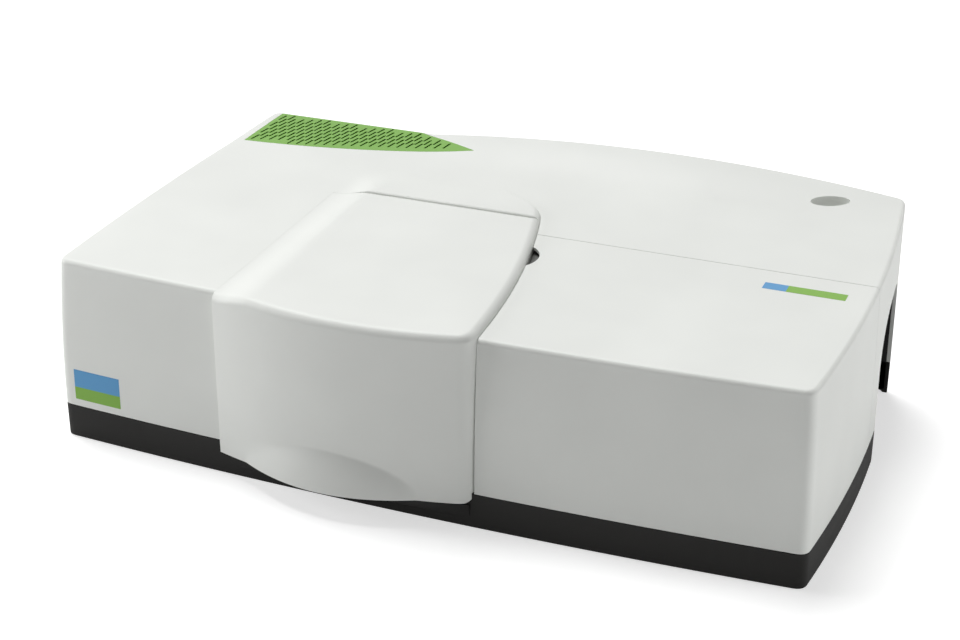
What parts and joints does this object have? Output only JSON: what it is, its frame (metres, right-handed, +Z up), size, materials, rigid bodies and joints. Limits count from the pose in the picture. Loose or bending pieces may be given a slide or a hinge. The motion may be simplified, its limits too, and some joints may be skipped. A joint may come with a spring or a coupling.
{
  "type": "spectrophotometer",
  "caption": "Bench spectrophotometer with moulded covers, a bowed hinged sample lid, a lift-off detector cover and the double-beam optics inside.",
  "frame": {"origin": "under the middle of the object's box, on the surface that it stands on", "axes": "+X to the user's right, +Y to the back, +Z up"},
  "size_m": [1.0199, 0.6492, 0.3],
  "materials": {
    "white_cover": "satin moulded",
    "black_base": "fine textured",
    "green_grille": "satin moulded",
    "rubber": "matt",
    "black_metal": "matt black anodised",
    "black_plastic": "moulded",
    "aluminium": "milled",
    "steel": "brushed",
    "sheet_metal": "zinc plated",
    "glass": "polished",
    "mirror": "polished",
    "brass": "turned",
    "ceramic": "glazed",
    "board": "laminate"
  },
  "bodies": {
    "base": {"base_tray": "black_base", "rubber_feet": "rubber", "main_cover": "white_cover", "vent_grille": "green_grille", "lid_hinge_brackets": "steel", "lid_hinge_pins": "steel", "light_seal": "rubber", "lid_sensor": "black_plastic", "sample_compartment": "black_metal", "compartment_plate": "aluminium", "sample_holder": "black_metal", "reference_holder": "black_metal", "holder_screws": "steel", "cuvettes": "glass", "beam_windows": "glass", "window_bezels": "black_metal", "optical_bench": "aluminium", "vibration_mounts": "rubber", "monochromator_walls": "black_metal", "monochromator_roof": "black_metal", "collimating_mirrors": "mirror", "mirror_stands": "aluminium", "slit_frame": "black_metal", "lamp_housing": "sheet_metal", "deuterium_lamp": "glass", "halogen_lamp": "glass", "lamp_sockets": "ceramic", "mirror_motors": "black_plastic", "filter_wheel_motor": "steel", "chopper_motor": "steel", "fold_mirrors": "mirror", "fold_mirror_stands": "aluminium", "detector_tray": "black_metal", "photomultiplier_housing": "black_metal", "infrared_detector": "aluminium", "heat_sink": "black_metal", "hand_pockets": "black_plastic", "power_supply": "sheet_metal", "main_board": "board", "fan_frame": "black_plastic", "rear_panel": "aluminium", "mains_inlet": "black_plastic", "serial_connector": "steel", "purge_fittings": "brass"},
    "lid": {"sample_lid": "white_cover", "lid_liner": "black_metal", "lid_hinge_knuckles": "aluminium"},
    "detector_hood": {"detector_cover": "white_cover"},
    "turret_1": {"grating_turret_1": "aluminium", "gratings_1": "mirror"},
    "turret_2": {"grating_turret_2": "aluminium", "gratings_2": "mirror"},
    "jaw_front": {"slit_jaw_front": "aluminium"},
    "jaw_rear": {"slit_jaw_rear": "aluminium"},
    "source_turner": {"source_mirror": "mirror"},
    "selector": {"selector_mirror": "mirror"},
    "filters": {"filter_wheel": "black_metal"},
    "chopper": {"chopper_wheel": "black_metal"},
    "fan": {"fan_rotor": "black_plastic"},
    "rocker": {"power_switch": "black_plastic"}
  },
  "joints": [
    {"name": "lid_hinge", "type": "hinge", "parent": "base", "child": "lid", "pos_m": [0, 0.05574, 0.27069], "axis": [-1, 0, 0], "range_deg": [0, 70]},
    {"name": "detector_hood_lift", "type": "slide", "parent": "base", "child": "detector_hood", "axis": [0.1045, 0, 0.9945], "range_m": [0, 0.26]},
    {"name": "turret_1_turn", "type": "hinge", "parent": "base", "child": "turret_1", "pos_m": [-0.11675, 0.18404, 0.056], "axis": [0, 0, 1], "range_deg": [-20, 200]},
    {"name": "turret_2_turn", "type": "hinge", "parent": "base", "child": "turret_2", "pos_m": [0.17475, 0.18404, 0.056], "axis": [0, 0, 1], "range_deg": [-200, 20]},
    {"name": "jaw_front_slide", "type": "slide", "parent": "base", "child": "jaw_front", "axis": [0, -1, 0], "range_m": [0, 0.004]},
    {"name": "jaw_rear_slide", "type": "slide", "parent": "base", "child": "jaw_rear", "axis": [0, 1, 0], "range_m": [0, 0.004]},
    {"name": "source_mirror_turn", "type": "hinge", "parent": "base", "child": "source_turner", "pos_m": [-0.322, 0.24654, 0.09], "axis": [0, 0, 1], "range_deg": [-45, 45]},
    {"name": "selector_turn", "type": "hinge", "parent": "base", "child": "selector", "pos_m": [0.26409, -0.10026, 0.09], "axis": [0, 0, 1], "range_deg": [-45, 45]},
    {"name": "filter_wheel_spin", "type": "hinge", "parent": "base", "child": "filters", "pos_m": [-0.262, 0.24654, 0.126], "axis": [1, 0, 0], "continuous": true},
    {"name": "chopper_spin", "type": "hinge", "parent": "base", "child": "chopper", "pos_m": [-0.36, 0.04974, 0.12], "axis": [0, 1, 0], "continuous": true},
    {"name": "fan_spin", "type": "hinge", "parent": "base", "child": "fan", "pos_m": [-0.36, 0.14774, 0.096], "axis": [0, 1, 0], "continuous": true},
    {"name": "power_switch_rock", "type": "hinge", "parent": "base", "child": "rocker", "pos_m": [0.378, 0.29454, 0.082], "axis": [1, 0, 0], "range_deg": [0, 14]}
  ],
  "couplings": [
    {"joint": "turret_2_turn", "follows": "turret_1_turn", "ratio": -1},
    {"joint": "jaw_rear_slide", "follows": "jaw_front_slide", "ratio": 1}
  ]
}
